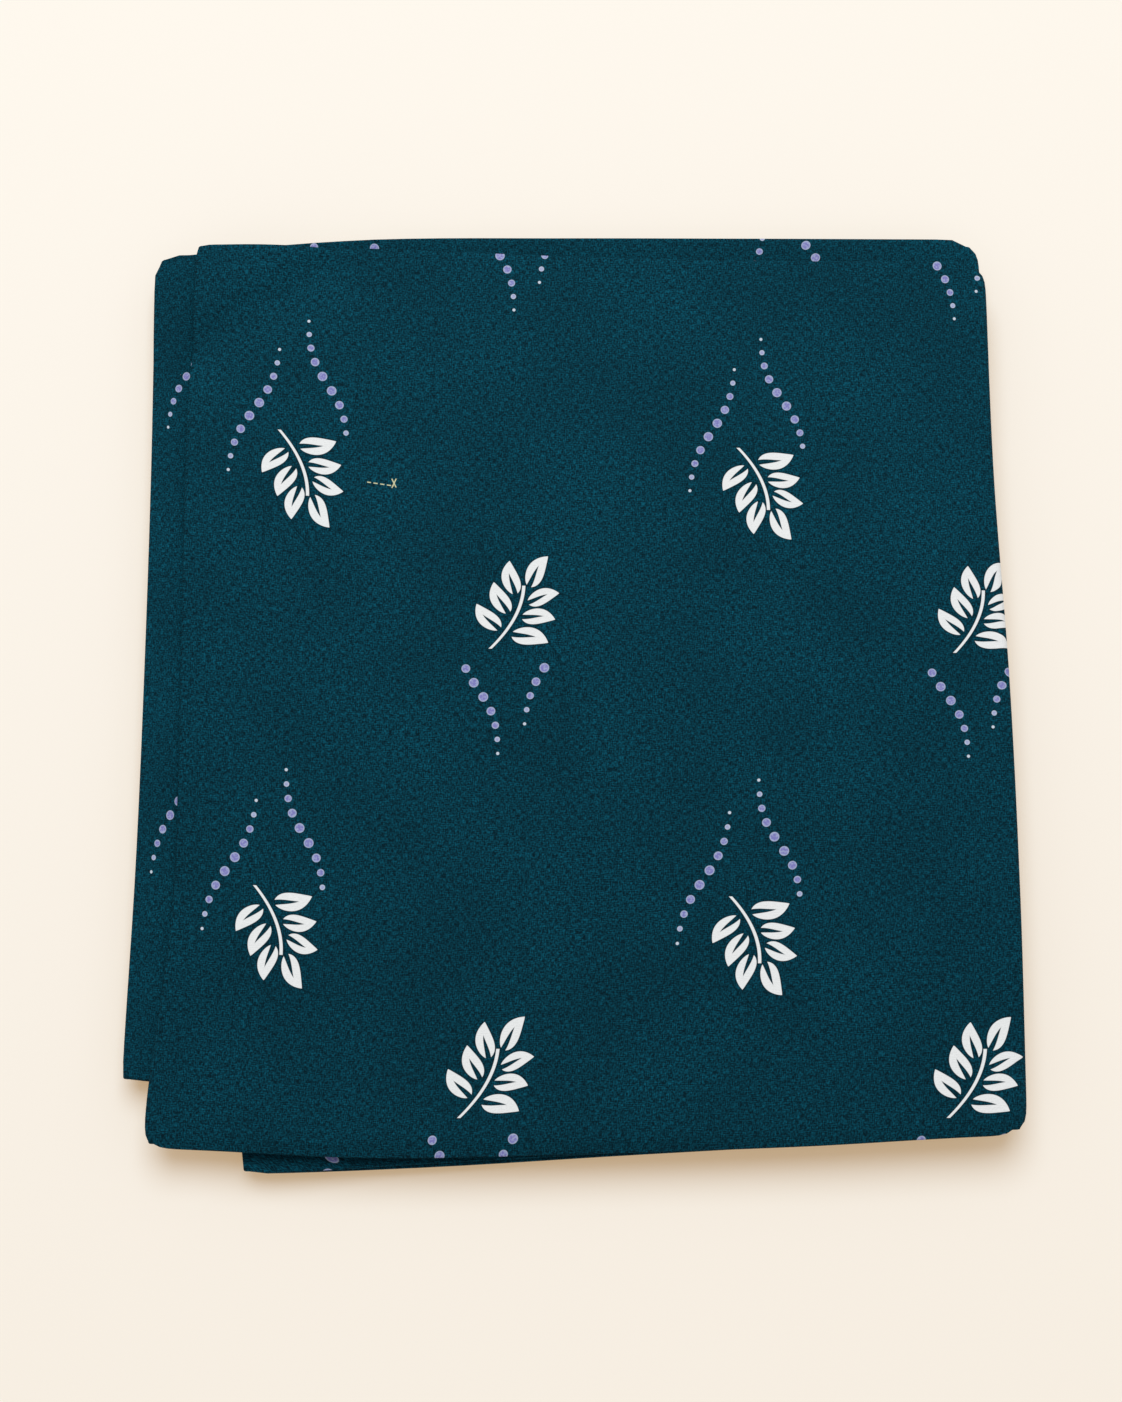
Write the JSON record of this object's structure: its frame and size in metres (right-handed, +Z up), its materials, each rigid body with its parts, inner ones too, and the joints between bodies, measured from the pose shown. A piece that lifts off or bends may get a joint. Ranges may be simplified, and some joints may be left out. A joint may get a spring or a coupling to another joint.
{
  "type": "folded printed fabric",
  "caption": "Cut length of printed plain-weave cotton, folded lengthwise and then back and forth into a flat, slightly uneven pack.",
  "frame": {"origin": "centre of the pack's footprint, on the surface that it lies on", "axes": "+X to the pack's right side, +Y to its back, +Z up through its layers"},
  "size_m": [0.2949, 0.325, 0.0194],
  "materials": {
    "printed_cotton": "matte plain weave, dark teal with white leaf sprigs and rows of periwinkle dots"
  },
  "bodies": {
    "root": {"folded_cloth": "printed_cotton"}
  },
  "joints": []
}
